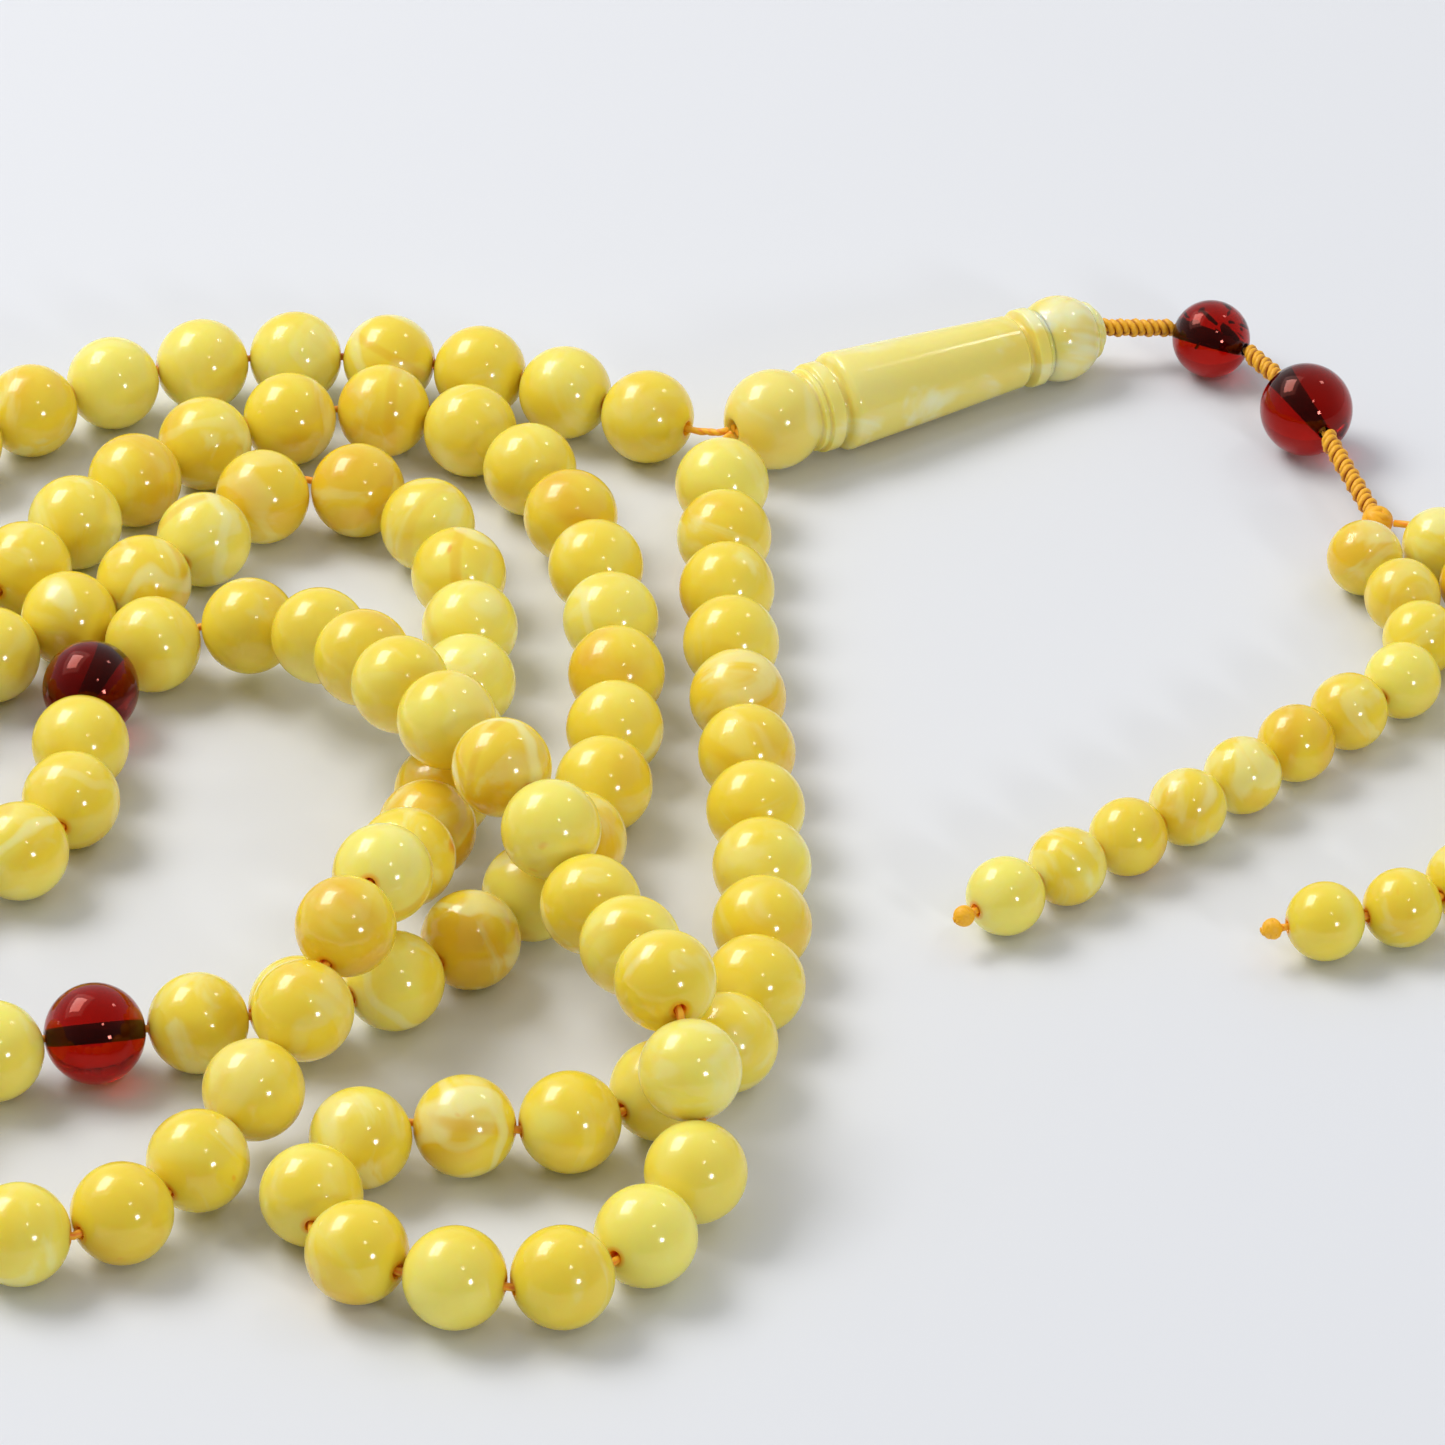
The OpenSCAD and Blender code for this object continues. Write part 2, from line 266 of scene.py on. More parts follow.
# Name, direction to the light, distance, width and height, watts, colour.
LIGHTS = [
    ("window", (-0.535, 0.321, 0.78), 1.3, (0.74, 0.5), 8.1, (1, 0.985, 0.96)),
    ("window_glow", (-0.535, 0.321, 0.78), 1.32, (1.3, 0.95), 3.8, (1, 0.985, 0.96)),
    ("lamp", (0.536, -0.763, 0.354), 1.1, (0.14, 0.14), 2.2, (0.95, 0.97, 1)),
    ("small_lamp", (0.292, -0.541, 0.788), 1.1, (0.085, 0.085), 0.36, (1, 1, 1)),
    ("side_fill", (0.52, 0.387, 0.76), 1.1, (0.12, 0.12), 0.4, (1, 1, 1)),
]
for name, direction, distance, sides, watts, colour in LIGHTS:
    data = bpy.data.lights.new(name, "AREA")
    data.shape = "RECTANGLE"
    data.size, data.size_y = sides
    data.energy = watts
    data.color = colour
    lamp = bpy.data.objects.new(name, data)
    toward = Vector(direction).normalized()
    lamp.location = ZERO + toward * distance
    lamp.rotation_euler = toward.to_track_quat("Z", "Y").to_euler()
    bpy.context.collection.objects.link(lamp)

# The studio is darker behind the camera than ahead of it.
world = bpy.data.worlds.new("studio")
bpy.context.scene.world = world
world.use_nodes = True
tree = world.node_tree
background = tree.nodes["Background"]
place = add(tree, "ShaderNodeTexCoord")
split_xyz = add(tree, "ShaderNodeSeparateXYZ")
tree.links.new(place.outputs["Generated"], split_xyz.inputs[0])
ramp = add(tree, "ShaderNodeValToRGB")
ramp.color_ramp.elements[0].position = 0.05
ramp.color_ramp.elements[0].color = (0.3, 0.31, 0.34, 1)
ramp.color_ramp.elements[1].position = 0.75
ramp.color_ramp.elements[1].color = (0.97, 0.98, 1, 1)
shift = add(tree, "ShaderNodeMath", operation="MULTIPLY_ADD")
shift.inputs[1].default_value = 0.5
shift.inputs[2].default_value = 0.5
tree.links.new(split_xyz.outputs["Y"], shift.inputs[0])
tree.links.new(shift.outputs[0], ramp.inputs[0])
tree.links.new(ramp.outputs[0], background.inputs["Color"])
background.inputs["Strength"].default_value = 0.63
bpy.context.scene.view_settings.view_transform = "Standard"

# ---------------------------------------------------------------- materials


def smooth_step(tree, value, start, end, low=0.0, high=1.0):
    """A soft step of a value from low to high."""
    step = add(tree, "ShaderNodeMapRange", interpolation_type="SMOOTHSTEP")
    for name, number in (("From Min", start), ("From Max", end), ("To Min", low), ("To Max", high)):
        step.inputs[name].default_value = number
    tree.links.new(value, step.inputs["Value"])
    return step.outputs[0]


def product(tree, a, b):
    """Two values multiplied."""
    node = add(tree, "ShaderNodeMath", operation="MULTIPLY")
    tree.links.new(a, node.inputs[0])
    tree.links.new(b, node.inputs[1])
    return node.outputs[0]


def tinted(tree, base, colour, amount):
    """The base colour turned towards another one by an amount."""
    node = add(tree, "ShaderNodeMix", data_type="RGBA")
    tree.links.new(amount, node.inputs["Factor"])
    tree.links.new(base, node.inputs["A"])
    node.inputs["B"].default_value = (*colour, 1)
    return node.outputs["Result"]


def amber_material(name, deep, body, pale, cloud, spot, grain, depth):
    """Milky amber: soft clouds, and a few wavy bands and pale veins in the beads that have them.

    Light goes about as far as depth into it.
    """
    material, tree, shader = new_material(name)
    link = tree.links.new
    place = add(tree, "ShaderNodeAttribute", attribute_name="grain").outputs["Vector"]
    kind = add(tree, "ShaderNodeSeparateXYZ")
    link(add(tree, "ShaderNodeAttribute", attribute_name="kind").outputs["Vector"], kind.inputs[0])

    broad = add(tree, "ShaderNodeTexNoise", Scale=grain * 0.9, Detail=1.5, Distortion=0.6)
    clouds = add(tree, "ShaderNodeTexNoise", Scale=grain * 1.3, Detail=3.0, Distortion=1.2)
    specks = add(tree, "ShaderNodeTexNoise", Scale=grain * 2.6, Detail=1.0, Distortion=0.3)
    bands = add(tree, "ShaderNodeTexWave", wave_type="BANDS", bands_direction="Z",
                Scale=grain * 0.2, Distortion=4.5, Detail=2.0)
    bands.inputs["Detail Scale"].default_value = 0.8
    bands.inputs["Detail Roughness"].default_value = 0.55
    veins = add(tree, "ShaderNodeTexWave", wave_type="BANDS", bands_direction="X",
                Scale=grain * 0.34, Distortion=9.0, Detail=3.0)
    veins.inputs["Detail Scale"].default_value = 0.9
    veins.inputs["Detail Roughness"].default_value = 0.6
    for node in (broad, clouds, specks, bands, veins):
        link(place, node.inputs["Vector"])

    # The tint of the whole bead moves its colours towards deep or pale.
    tone = add(tree, "ShaderNodeMath", operation="ADD")
    link(broad.outputs["Fac"], tone.inputs[0])
    link(kind.outputs["X"], tone.inputs[1])
    colours = add(tree, "ShaderNodeValToRGB")
    colours.color_ramp.interpolation = "EASE"
    stops = colours.color_ramp.elements
    stops[0].position, stops[0].color = 0.16, (*deep, 1)
    stops[1].position, stops[1].color = 0.82, (*pale, 1)
    stops.new(0.5).color = (*body, 1)
    link(tone.outputs[0], colours.inputs[0])
    colour = colours.outputs["Color"]

    cloudy = product(tree, smooth_step(tree, clouds.outputs["Fac"], 0.5, 0.66), kind.outputs["Y"])
    colour = tinted(tree, colour, cloud, cloudy)
    dark_band = smooth_step(tree, bands.outputs["Fac"], 0.0, 0.06, 0.6, 0.0)
    colour = tinted(tree, colour, deep, product(tree, dark_band, kind.outputs["Z"]))
    pale_vein = smooth_step(tree, veins.outputs["Fac"], 0.93, 1.0, 0.0, 0.75)
    colour = tinted(tree, colour, cloud, product(tree, pale_vein, kind.outputs["Z"]))
    colour = tinted(tree, colour, spot, smooth_step(tree, specks.outputs["Fac"], 0.76, 0.84))
    glow = add(tree, "ShaderNodeAttribute", attribute_name="hole").outputs["Fac"]
    colour = tinted(tree, colour, (1.0, 0.36, 0.008), glow)
    link(colour, shader.inputs["Base Color"])

    shader.inputs["Roughness"].default_value = 0.12
    shader.inputs["IOR"].default_value = 1.54
    shader.inputs["Subsurface Weight"].default_value = 0.9
    shader.inputs["Subsurface Radius"].default_value = (1.0, 0.78, 0.24)
    shader.inputs["Subsurface Scale"].default_value = depth
    # Faint polishing marks.
    marks = add(tree, "ShaderNodeTexNoise", Scale=grain * 9, Detail=2.0, Roughness=0.5)
    link(place, marks.inputs["Vector"])
    bump = add(tree, "ShaderNodeBump", Strength=0.04, Distance=0.02 * MM)
    link(marks.outputs["Fac"], bump.inputs["Height"])
    link(bump.outputs["Normal"], shader.inputs["Normal"])
    return material


def red_material():
    """Clear cherry amber, which darkens with depth."""
    material, tree, shader = new_material("red_amber")
    link = tree.links.new
    grain_node = add(tree, "ShaderNodeAttribute", attribute_name="grain")
    noise = add(tree, "ShaderNodeTexNoise", Scale=1.3, Detail=2.0, Roughness=0.5, Distortion=0.6)
    link(grain_node.outputs["Vector"], noise.inputs["Vector"])
    colours = add(tree, "ShaderNodeValToRGB")
    stops = colours.color_ramp
    stops.elements[0].position, stops.elements[0].color = 0.3, (0.25, 0.0008, 0.0002, 1)
    stops.elements[1].position, stops.elements[1].color = 0.7, (0.46, 0.0025, 0.0004, 1)
    link(noise.outputs["Fac"], colours.inputs[0])
    link(colours.outputs["Color"], shader.inputs["Base Color"])
    shader.inputs["Roughness"].default_value = 0.02
    shader.inputs["IOR"].default_value = 1.54
    shader.inputs["Specular Tint"].default_value = (1.0, 0.28, 0.22, 1)
    shader.inputs["Transmission Weight"].default_value = 1.0
    return material


def bore_shade_material():
    """The rough wall of a drilled hole, seen through clear amber, painted near black: painted shade
    in the hole.
    """
    material, tree, shader = new_material("painted_bore_shade")
    link = tree.links.new
    grain_node = add(tree, "ShaderNodeAttribute", attribute_name="grain")
    noise = add(tree, "ShaderNodeTexNoise", Scale=9.0, Detail=2.0)
    link(grain_node.outputs["Vector"], noise.inputs["Vector"])
    colours = add(tree, "ShaderNodeValToRGB")
    colours.color_ramp.elements[0].color = (0.012, 0.001, 0.002, 1)
    colours.color_ramp.elements[1].color = (0.05, 0.006, 0.006, 1)
    link(noise.outputs["Fac"], colours.inputs[0])
    link(colours.outputs["Color"], shader.inputs["Base Color"])
    shader.inputs["Roughness"].default_value = 0.7
    return material


def cord_material(name, shaded_colour, light, scale):
    """Silky thread, darker in the grooves of its twist than on its crowns: painted shade."""
    material, tree, shader = new_material(name)
    link = tree.links.new
    place = add(tree, "ShaderNodeTexCoord")
    noise = add(tree, "ShaderNodeTexNoise", Scale=scale, Detail=3.0, Roughness=0.6)
    link(place.outputs["Object"], noise.inputs["Vector"])
    # Painted shade: the groove depths darken the thread's colour.
    groove_shade = add(tree, "ShaderNodeAttribute", attribute_name="groove_shade")
    mixed = add(tree, "ShaderNodeMath", operation="MULTIPLY_ADD")
    link(noise.outputs["Fac"], mixed.inputs[0])
    mixed.inputs[1].default_value = 0.5
    link(groove_shade.outputs["Fac"], mixed.inputs[2])
    colours = add(tree, "ShaderNodeValToRGB")
    stops = colours.color_ramp
    stops.elements[0].position, stops.elements[0].color = 0.35, (*light, 1)
    stops.elements[1].position, stops.elements[1].color = 1.0, (*shaded_colour, 1)
    link(mixed.outputs[0], colours.inputs[0])
    link(colours.outputs["Color"], shader.inputs["Base Color"])
    shader.inputs["Roughness"].default_value = 0.48
    shader.inputs["Sheen Weight"].default_value = 0.08
    shader.inputs["Sheen Roughness"].default_value = 0.4
    bump = add(tree, "ShaderNodeBump", Strength=0.4, Distance=0.05 * MM)
    link(noise.outputs["Fac"], bump.inputs["Height"])
    link(bump.outputs["Normal"], shader.inputs["Normal"])
    return material


yellow_amber = amber_material(
    "yellow_amber", (0.82, 0.53, 0.024), (0.9, 0.71, 0.06), (0.93, 0.82, 0.17),
    (0.94, 0.88, 0.42), (0.85, 0.25, 0.015), 1, 2.6 * MM)
imam_amber = amber_material(
    "imam_amber", (0.92, 0.66, 0.06), (0.94, 0.79, 0.2), (0.95, 0.86, 0.35),
    (0.96, 0.93, 0.62), (0.9, 0.72, 0.15), 0.6, 1.3 * MM)
red_amber = red_material()
bore_shade = bore_shade_material()
# Painted shade: the dark colours darken the grooves of the twist, and darken the knots and braids
# most.
thread = cord_material("thread", (0.95, 0.26, 0.004), (1.0, 0.5, 0.01), 9000)
knotted = cord_material("knotted_thread", (0.42, 0.1, 0.002), (1.0, 0.5, 0.01), 7000)
flake_material, tree, shader = new_material("flake")
shader.inputs["Base Color"].default_value = (0.03, 0.002, 0.001, 1)
shader.inputs["Roughness"].default_value = 0.5

# ---------------------------------------------------------------- beads


def lathe(outline, sides):
    """Vertices and faces of a closed outline of (distance, radius) turned round z."""
    verts = []
    for z, r in outline:
        for k in range(sides):
            angle = 2 * math.pi * k / sides
            verts.append((r * math.cos(angle), r * math.sin(angle), z))
    faces = []
    rows = len(outline)
    for i in range(rows):
        for k in range(sides):
            a, b = i * sides + k, i * sides + (k + 1) % sides
            c, d = (i + 1) % rows * sides + (k + 1) % sides, (i + 1) % rows * sides + k
            faces.append((a, b, c, d))
    return verts, faces


def arc(centre, r, start, end, count):
    """Points of (distance, radius) on a circle, from one angle to another."""
    return [
        (centre[0] + r * math.cos(math.radians(start + (end - start) * i / count)),
         centre[1] + r * math.sin(math.radians(start + (end - start) * i / count)))
        for i in range(count + 1)
    ]


def bead_outline(r, bore, rings):
    """A drilled ball's outline, with a small round at the edge of each hole."""
    rim = 0.12 * MM
    lean = math.degrees(math.asin((bore + rim) / (r - rim)))
    far = (r - rim) * math.cos(math.radians(lean))
    return (
        arc((0, 0), r, 180 - lean, lean, rings)
        + arc((far, bore + rim), rim, lean, -90, 4)[1:]
        + [(far * k / 3, bore) for k in (2, 1, 0, -1, -2)]
        + arc((-far, bore + rim), rim, 270, 180 - lean, 4)[:-1]
    )


def set_attribute(mesh, name, kind, values):
    """Stores one value or vector at each vertex for a material to read."""
    attribute = mesh.attributes.new(name, kind, "POINT")
    flat = np.asarray(values, dtype=np.float32).ravel()
    attribute.data.foreach_set("vector" if kind == "FLOAT_VECTOR" else "value", flat)


# Grain units in a metre, so that a large bead is one unit across, and how drawn out it is.
GRAIN = 100.0
BAND_PULL = (0.7, 0.9, 1.5)
# The cord's colour shows through the amber this near to the middle of a hole.
GLOW_INNER = 0.65 * MM
GLOW_OUTER = 1.1 * MM


def mark(mesh, rng, kind, hole=None):
    """Gives a mesh the place in the amber's grain that its material reads."""
    turn = Matrix.Rotation(rng.uniform(0, 6.28), 3, Vector(
        (rng.uniform(-1, 1), rng.uniform(-1, 1), rng.uniform(-1, 1))).normalized())
    verts = np.array([v.co[:] for v in mesh.vertices]) * GRAIN
    turned = verts @ np.array(turn).T * np.array(BAND_PULL)
    offset = np.array([rng.uniform(-50, 50) for _ in range(3)])
    set_attribute(mesh, "grain", "FLOAT_VECTOR", turned + offset)
    set_attribute(mesh, "kind", "FLOAT_VECTOR", np.tile(kind, (len(verts), 1)))
    set_attribute(mesh, "hole", "FLOAT", np.zeros(len(verts)) if hole is None else hole)


def lay(mesh, axis, centre, spin):
    """Turns a mesh made round z to lie round an axis through its centre, turned by spin."""
    turn = Vector(axis).to_track_quat("Z", "Y").to_matrix().to_4x4()
    mesh.transform(Matrix.Translation(centre) @ turn @ Matrix.Rotation(spin, 4, "Z"))


def make_bead(name, centre, axis, d, bore, material, kind, rng, wall=None):
    """A drilled bead, a little out of round as a hand turned one is."""
    verts, faces = lathe(bead_outline(d / 2, bore, 30), 56)
    scale = (rng.uniform(0.993, 1), rng.uniform(0.993, 1), rng.uniform(0.991, 0.999))
    verts = [(x * scale[0], y * scale[1], z * scale[2]) for x, y, z in verts]
    mesh = mesh_from(name, verts, faces)
    radial = np.array([math.hypot(v[0], v[1]) for v in verts])
    mark(mesh, rng, kind, np.clip((GLOW_OUTER - radial) / (GLOW_OUTER - GLOW_INNER), 0, 1))
    thing = add_object(name, mesh, material)
    # Clear beads get a near-black wall in their hole: painted shade.
    if wall:
        mesh.materials.append(wall)
        for face in mesh.polygons:
            if all(radial[v] < bore * 1.02 for v in face.vertices):
                face.material_index = 1
    lay(mesh, axis, centre, rng.uniform(0, 2 * math.pi))
    return thing


def amber_kind(rng):
    """How deep or pale, how cloudy and how banded one bead is."""
    tint = rng.choice((-0.16, -0.06, 0.0, 0.0, 0.04, 0.1, 0.22)) + rng.uniform(-0.04, 0.04)
    return (tint, rng.uniform(0.05, 0.65), rng.choice((0.0, 0.0, 0.15, 0.4, 0.9)))


# Radius of a hole. The beads that slide have a wider one, because they also pass the cord's bend.
BORE = 0.62 * MM
SLIDING_BORE = 0.8 * MM
CLEAR_BORE = 0.66 * MM
SLIDING = 3


def put(piece, body, node):
    """Lets a piece ride on a body, in place of a CAD node."""
    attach(piece, body)
    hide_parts(node)


rng = random.Random(33)
for i in range(len(loop)):
    divider = (i + 1) % (THIRD + 1) == 0
    if divider:
        name = f"divider_bead_{(i + 1) // (THIRD + 1)}"
        bead = make_bead(name + "_looks", loop[i], loop_axes[i], bead_d, CLEAR_BORE, red_amber,
                         (0, 0, 0), rng, bore_shade)
        put(bead, name, name)
        continue
    number = i + 1 - i // (THIRD + 1)
    if number <= SINGLES:
        node = body = f"counting_bead_{number:02d}"
    else:
        first, last = next((a, b) for a, b in ((SINGLES + 1, THIRD), (THIRD + 1, 2 * THIRD),
                                               (2 * THIRD + 1, 3 * THIRD)) if a <= number <= b)
        node, body = f"counting_beads_{first}_{last}", "loop"
    bead = make_bead(f"amber_bead_{number:02d}", loop[i], loop_axes[i], bead_d,
                     SLIDING_BORE if number <= SLIDING else BORE, yellow_amber, amber_kind(rng),
                     rng)
    put(bead, body, node)

for key, (row, axes, _) in strands.items():
    for i in range(STRAND_BEADS):
        node = f"tassel_bead_{key}{i + 1:02d}"
        bead = make_bead(node + "_looks", row[i], axes[i], small_d, BORE, yellow_amber,
                         amber_kind(rng), rng)
        put(bead, node, node)

for i in (1, 2):
    node = f"tail_bead_{i}"
    centre = middle(node)
    bead = make_bead(node + "_looks", centre, turning_axis(node + "_spin"), size(node),
                     CLEAR_BORE, red_amber, (0, 0, 0), rng, bore_shade)
    put(bead, node, node)



FLAKE_COUNT = 26
FLAKE_CORNERS = 7
FLAKE_THICK = 0.06 * MM


def flakes(centre, r, rng):
    """Thin dark flakes in the upper part of a clear bead, as ragged little closed lenses."""
    verts, faces = [], []
    while len(verts) < FLAKE_COUNT * (FLAKE_CORNERS + 2):
        place = Vector((rng.uniform(-1, 1), rng.uniform(-1, 1), rng.uniform(0.05, 1))) * r * 0.8
        if not 0.25 * r < place.length < 0.76 * r:
            continue
        facing = Vector((rng.uniform(-1, 1), rng.uniform(-1, 1), rng.uniform(-1, 1))).normalized()
        side = facing.orthogonal().normalized()
        up = facing.cross(side)
        wide, long = rng.uniform(0.04, 0.1) * r, rng.uniform(0.08, 0.22) * r
        base = len(verts)
        for k in range(FLAKE_CORNERS):
            angle = 2 * math.pi * k / FLAKE_CORNERS
            ragged = rng.uniform(0.6, 1.15)
            verts.append(centre + place + side * math.cos(angle) * wide * ragged
                         + up * math.sin(angle) * long * ragged)
        front, back = base + FLAKE_CORNERS, base + FLAKE_CORNERS + 1
        verts += [centre + place + facing * FLAKE_THICK, centre + place - facing * FLAKE_THICK]
        for k in range(FLAKE_CORNERS):
            a, b = base + k, base + (k + 1) % FLAKE_CORNERS
            faces += [(a, b, front), (b, a, back)]
    return mesh_from("flakes", verts, faces, smooth=False)


speckled = "tail_bead_1"
piece = add_object("tail_bead_1_flakes",
                   flakes(middle(speckled), size(speckled) / 2, random.Random(4)),
                   flake_material)
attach(piece, speckled)
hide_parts(speckled)

# ---------------------------------------------------------------- the imam

imam_len = (tip - mouth).length
# The imam's sizes in mm: its ball, its barrel's thick and thin ends, its other ball, its bore,
# and where the barrel starts and ends.
BALL_R, BARREL_R, THIN_R, TAIL_BALL_R, IMAM_BORE = 5.4, 5.4, 4.05, 4.7, 1.2
THICK_END, THIN_END = 13.5, 34.8


def ridge(start, end, r, edge=0.16):
    """A turned ring with rounded edges."""
    return (arc((start + edge, r - edge), edge, 180, 90, 3)
            + arc((end - edge, r - edge), edge, 90, 0, 3))


def imam_outline():
    """The imam's outline in mm, as (distance from its mouth, radius)."""
    end = imam_len / MM
    taper = math.degrees(math.atan2(BARREL_R - THIN_R, THIN_END - THICK_END))
    outer = (
        arc((BALL_R, 0), BALL_R - 0.02, 163, 49, 26)
        + [(9.15, 3.98)]
        + ridge(9.28, 9.88, 4.52)
        + [(9.98, 4.2)]
        + ridge(10.1, 11.7, 4.87, 0.2)
        + arc((12.15, 4.3), 0.42, 180, 360, 8)
        + arc((THICK_END, BARREL_R - 0.92), 0.9, 170, 90 - taper, 8)
    )
    # The barrel swells a little between its ends.
    start = outer[-1]
    for k in range(1, 12):
        t = k / 12
        swell = 0.05 * math.sin(math.pi * t) - 0.03
        outer.append((start[0] + (THIN_END + 0.05 - start[0]) * t,
                      start[1] + (THIN_R - 0.02 - start[1]) * t + swell))
    outer += (
        arc((THIN_END, THIN_R - 0.72), 0.7, 90 - taper, 0, 8)
        + arc((35.9, 3.4), 0.32, 180, 360, 6)
        + ridge(36.3, 37.7, 4.32, 0.2)
        + [(37.8, 3.7)]
        + ridge(37.9, 38.4, 3.92)
        + [(38.5, 3.4)]
        + arc((end - 4.95, 0), TAIL_BALL_R - 0.02, 126, 46, 20)
        + ridge(end - 1.6, end - 0.95, 3.18, 0.2)
        + [(end - 0.9, 2.7)]
        + arc((end - 0.9, 1.7), 0.88, 85, 5, 8)
    )
    inner = [(end - 0.05, IMAM_BORE + 0.12), (end - 0.2, IMAM_BORE)]
    inner += [(end * k / 8, IMAM_BORE) for k in range(7, 0, -1)]
    inner += [(0.6, IMAM_BORE), (0.3, IMAM_BORE + 0.1)]
    return outer + inner


verts, faces = lathe([(z * MM, r * MM) for z, r in imam_outline()], 96)
mesh = mesh_from("imam_looks", verts, faces)
mark(mesh, random.Random(8), (-0.02, 0.9, 0.3))
lay(mesh, imam_axis, mouth, 0.6)
imam = add_object("imam_looks", mesh, imam_amber)
put(imam, "imam", "imam")

# ---------------------------------------------------------------- cords


def frame_along(points):
    """A smoothly carried side and up for each point of a line."""
    out = []
    last = len(points) - 1
    side = None
    for i in range(last + 1):
        ahead = (points[min(i + 1, last)] - points[max(i - 1, 0)]).normalized()
        if side is None:
            side = ahead.cross(Vector((0, 0, 1)))
            if side.length < 0.1:
                side = ahead.cross(Vector((1, 0, 0)))
        side = (side - ahead * side.dot(ahead)).normalized()
        out.append((side, ahead.cross(side)))
    return out


def frame_round(points):
    """A side that faces outward, and an up, for each point of a ring."""
    count = len(points)
    centre = sum(points, Vector()) / count
    out = []
    for i in range(count):
        ahead = (points[(i + 1) % count] - points[i - 1]).normalized()
        side = (points[i] - centre).normalized()
        out.append((side, ahead.cross(side).normalized()))
    return out


# How much of a thread's radius the grooves between its plies take away.
GROOVE_DEPTH = 0.22


def tube(points, r, sides, closed=False, plies=0, twist=0.0):
    """Vertices, faces and groove depths of a tube, with the plies of a twisted thread. The groove
    depths also darken the thread's colour: painted shade.
    """
    frames = frame_round(points) if closed else frame_along(points)
    verts, groove_shades, travelled = [], [], 0.0
    for i, p in enumerate(points):
        if i:
            travelled += (p - points[i - 1]).length * twist
        side, up = frames[i]
        for k in range(sides):
            angle = 2 * math.pi * k / sides
            depth = 0.0
            if plies:
                depth = (1 - abs(math.cos(plies * (angle - travelled) / 2))) ** 2
            radius = r * (1 - GROOVE_DEPTH * depth)
            verts.append(p + side * math.cos(angle) * radius + up * math.sin(angle) * radius)
            groove_shades.append(depth)
    faces = []
    rows = len(points)
    for i in range(rows if closed else rows - 1):
        for k in range(sides):
            a, b = i * sides + k, i * sides + (k + 1) % sides
            c = (i + 1) % rows * sides + (k + 1) % sides
            d = (i + 1) % rows * sides + k
            faces.append((a, b, c, d))
    if not closed:
        faces.append(tuple(reversed(range(sides))))
        faces.append(tuple(range((rows - 1) * sides, rows * sides)))
    return verts, faces, groove_shades


def tubes_object(name, tubes, material):
    """One object made of several tubes."""
    verts, faces, groove_shades = [], [], []
    for v, f, g in tubes:
        base = len(verts)
        verts += v
        faces += [tuple(base + k for k in face) for face in f]
        groove_shades += g
    mesh = mesh_from(name, verts, faces)
    # Painted shade: the groove depths darken the thread's colour.
    set_attribute(mesh, "groove_shade", "FLOAT", groove_shades)
    return add_object(name, mesh, material)


def refined(points, step=0.35 * MM):
    """The line with a point at least every step."""
    out = [points[0]]
    for a, b in zip(points, points[1:]):
        pieces = max(1, math.ceil((b - a).length / step))
        out += [a + (b - a) * k / pieces for k in range(1, pieces + 1)]
    return out


# The thread's two plies turn round each other once in 2.2 mm.
TWIST = 2 * math.pi / (2.2 * MM)
CORD_STEP = 1.7 * MM
main_points = placed(SLACK_A) + loop_ties + placed(SLACK_B)[::-1]
# The slack ends are curved, and the stretch through the beads is straight from tie to tie.
head = curve_through(main_points[:6], steps=5)
foot = curve_through(main_points[-6:], steps=5) + [main_points[-1]]
main_line = head[:-5] + refined(loop_ties, CORD_STEP) + foot[5:]
main_cord = tubes_object("loop_cord", [tube(main_line, CORD_D / 2, 10, plies=2, twist=TWIST)],
                         thread)
put(main_cord, "loop", "main_cord")


def knot_ball(centre, r, thread_r, rings, seed):
    """A tight ball knot: turns of cord laid over each other."""
    rng = random.Random(seed)
    out = []
    for k in range(rings):
        normal = Vector((rng.uniform(-1, 1), rng.uniform(-1, 1), rng.uniform(-1, 1))).normalized()
        side = normal.orthogonal().normalized()
        up = normal.cross(side)
        lift = (r - thread_r) * rng.uniform(0.15, 0.35) * (-1) ** k
        ring_r = math.sqrt((r - thread_r) ** 2 - lift ** 2)
        points = [
            centre + normal * lift + side * ring_r * math.cos(t) + up * ring_r * math.sin(t)
            for t in (2 * math.pi * i / 28 for i in range(28))
        ]
        out.append(tube(points, thread_r, 8, closed=True))
    return out


for key, (row, axes, ties) in strands.items():
    body = "strand_" + key
    line = list(ties)
    knot = middle("end_knot_" + key)
    knot_r = size("end_knot_" + key) / 2
    start = split + (line[0] - split).normalized() * (size("split_knot") / 2 + 0.2 * MM)
    end = knot - (knot - line[-1]).normalized() * 0.8 * MM
    line = refined([start] + line + [end], CORD_STEP)
    cord = tubes_object("strand_cord_" + key, [tube(line, CORD_D / 2, 10, plies=2, twist=TWIST)],
                        thread)
    put(cord, body, "tassel_cord_" + key)
    # Two short cut ends stand out of the knot.
    away = (knot - row[-1]).normalized()
    aside = away.cross(Vector((0, 0, 1)))
    tails = []
    for sign in (-1, 1):
        ends = [knot + away * 0.5 * MM, knot + away * 1.1 * MM + aside * sign * 0.35 * MM
                - Vector((0, 0, 0.2 * MM))]
        tails.append(tube(refined(ends, 0.3 * MM), 0.28 * MM, 8))
    ball = tubes_object("strand_knot_" + key,
                        knot_ball(knot, knot_r, 0.42 * MM, 7, ord(key)) + tails, knotted)
    put(ball, body, "end_knot_" + key)


# A braid's rolls: their thickness, their distance, how far they lean ahead and to and fro, and
# how far every other one is nudged aside.
ROLL_R = 0.43 * MM
ROLL_PITCH = 0.86 * MM
LEAN_SIDE, LEAN_UP = 0.75, -0.25
NUDGE = 0.1 * MM
PLAIN_R = 0.45 * MM


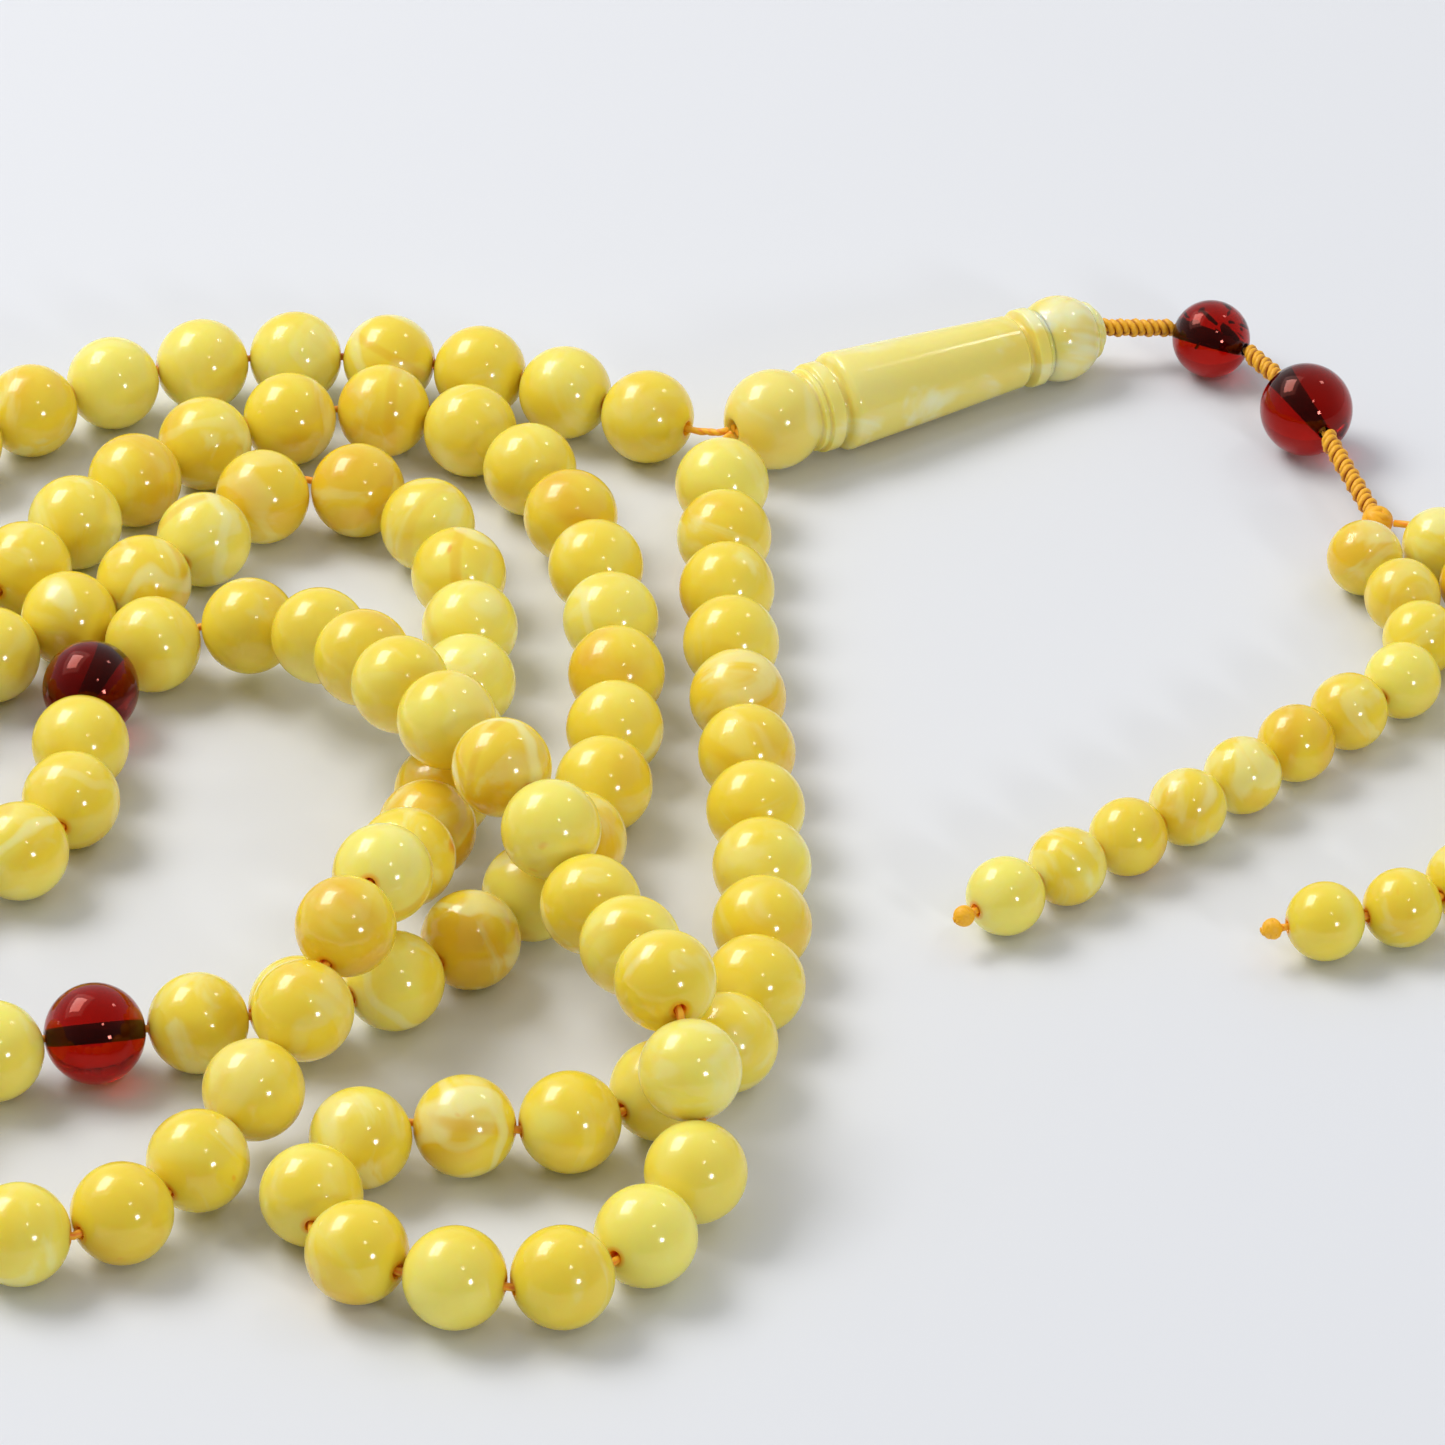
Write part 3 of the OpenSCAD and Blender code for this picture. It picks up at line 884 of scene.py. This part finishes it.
def braid(name, start, end, first, last):
    """A stretch of snake knots: slanted rolls of cord, nudged to the left and right by turns.

    The first roll lies this far from its start, and the last roll this far from its end.
    """
    ahead = (end - start).normalized()
    side = ahead.cross(Vector((0, 0, 1))).normalized()
    up = side.cross(ahead)
    run = (end - start).length - first - last
    count = round(run / ROLL_PITCH)
    rng = random.Random(name)
    tubes = []
    for k in range(count + 1):
        nudge = side * (NUDGE if k % 2 else -NUDGE)
        centre = start + ahead * (first + run * k / count) + nudge
        ring_r = (BRAID_D / 2 - ROLL_R) * rng.uniform(0.94, 1.04)
        points = []
        for i in range(24):
            t = 2 * math.pi * i / 24
            u, v = math.cos(t) * ring_r, math.sin(t) * ring_r
            points.append(centre + up * u + side * v + ahead * (LEAN_SIDE * v + LEAN_UP * u))
        verts, faces, groove_shades = tube(points, ROLL_R, 10, closed=True, plies=3, twist=TWIST * 1.3)
        # Painted shade: the sides of the rolls nearest the braid's middle line, where they lie
        # under each other, are darkened as deeply as a groove.
        for i, vert in enumerate(verts):
            off = off_line(vert - nudge, start, end).length
            groove_shades[i] = max(groove_shades[i] * 0.6, min(1, (BRAID_D / 2 - off) / (0.42 * BRAID_D / 2)))
        tubes.append((verts, faces, groove_shades))
    line = refined([start, start + ahead * (first + ROLL_PITCH)], 0.4 * MM)
    tubes.append(tube(line, CORD_D / 2, 8, plies=2, twist=TWIST))
    core = [start + ahead * (first * 0.6), end - ahead * (last * 0.3)]
    tubes.append(tube(refined(core, 0.5 * MM), PLAIN_R, 8))
    return tubes


def bead_holes(node):
    """The two holes of a tail bead, the one nearer to the imam first."""
    centre, axis, half = middle(node), turning_axis(node + "_spin"), size(node) / 2
    return centre - axis * half, centre + axis * half


near_1, far_1 = bead_holes("tail_bead_1")
near_2, far_2 = bead_holes("tail_bead_2")
CORE_SHORT = 0.65 * MM
for number, start, near, far in ((1, tip, near_1, far_1), (2, far_1, near_2, far_2)):
    name = f"tail_braid_{number}"
    tubes = braid(name, start, near, 1.1 * MM, 0.9 * MM)
    through = [near - (near - start).normalized() * 0.9 * MM, near,
               far - (far - near).normalized() * CORE_SHORT]
    tubes.append(tube(refined(through, 0.5 * MM), PLAIN_R, 8, plies=2, twist=TWIST))
    piece = tubes_object(name + "_looks", tubes, knotted)
    put(piece, f"tail_{number}", name)

tubes = braid("tail_braid_3", far_2, split, 1.1 * MM, 1.6 * MM)
piece = tubes_object("tail_braid_3_looks", tubes, knotted)
put(piece, "tail_3", "tail_braid_3")
piece = tubes_object("split_knot_looks",
                     knot_ball(split, size("split_knot") / 2, 0.55 * MM, 9, 5), knotted)
put(piece, "tail_3", "split_knot")

inner = frame["nodes"]["imam_cord"]
inner.data.materials.clear()
inner.data.materials.append(thread)
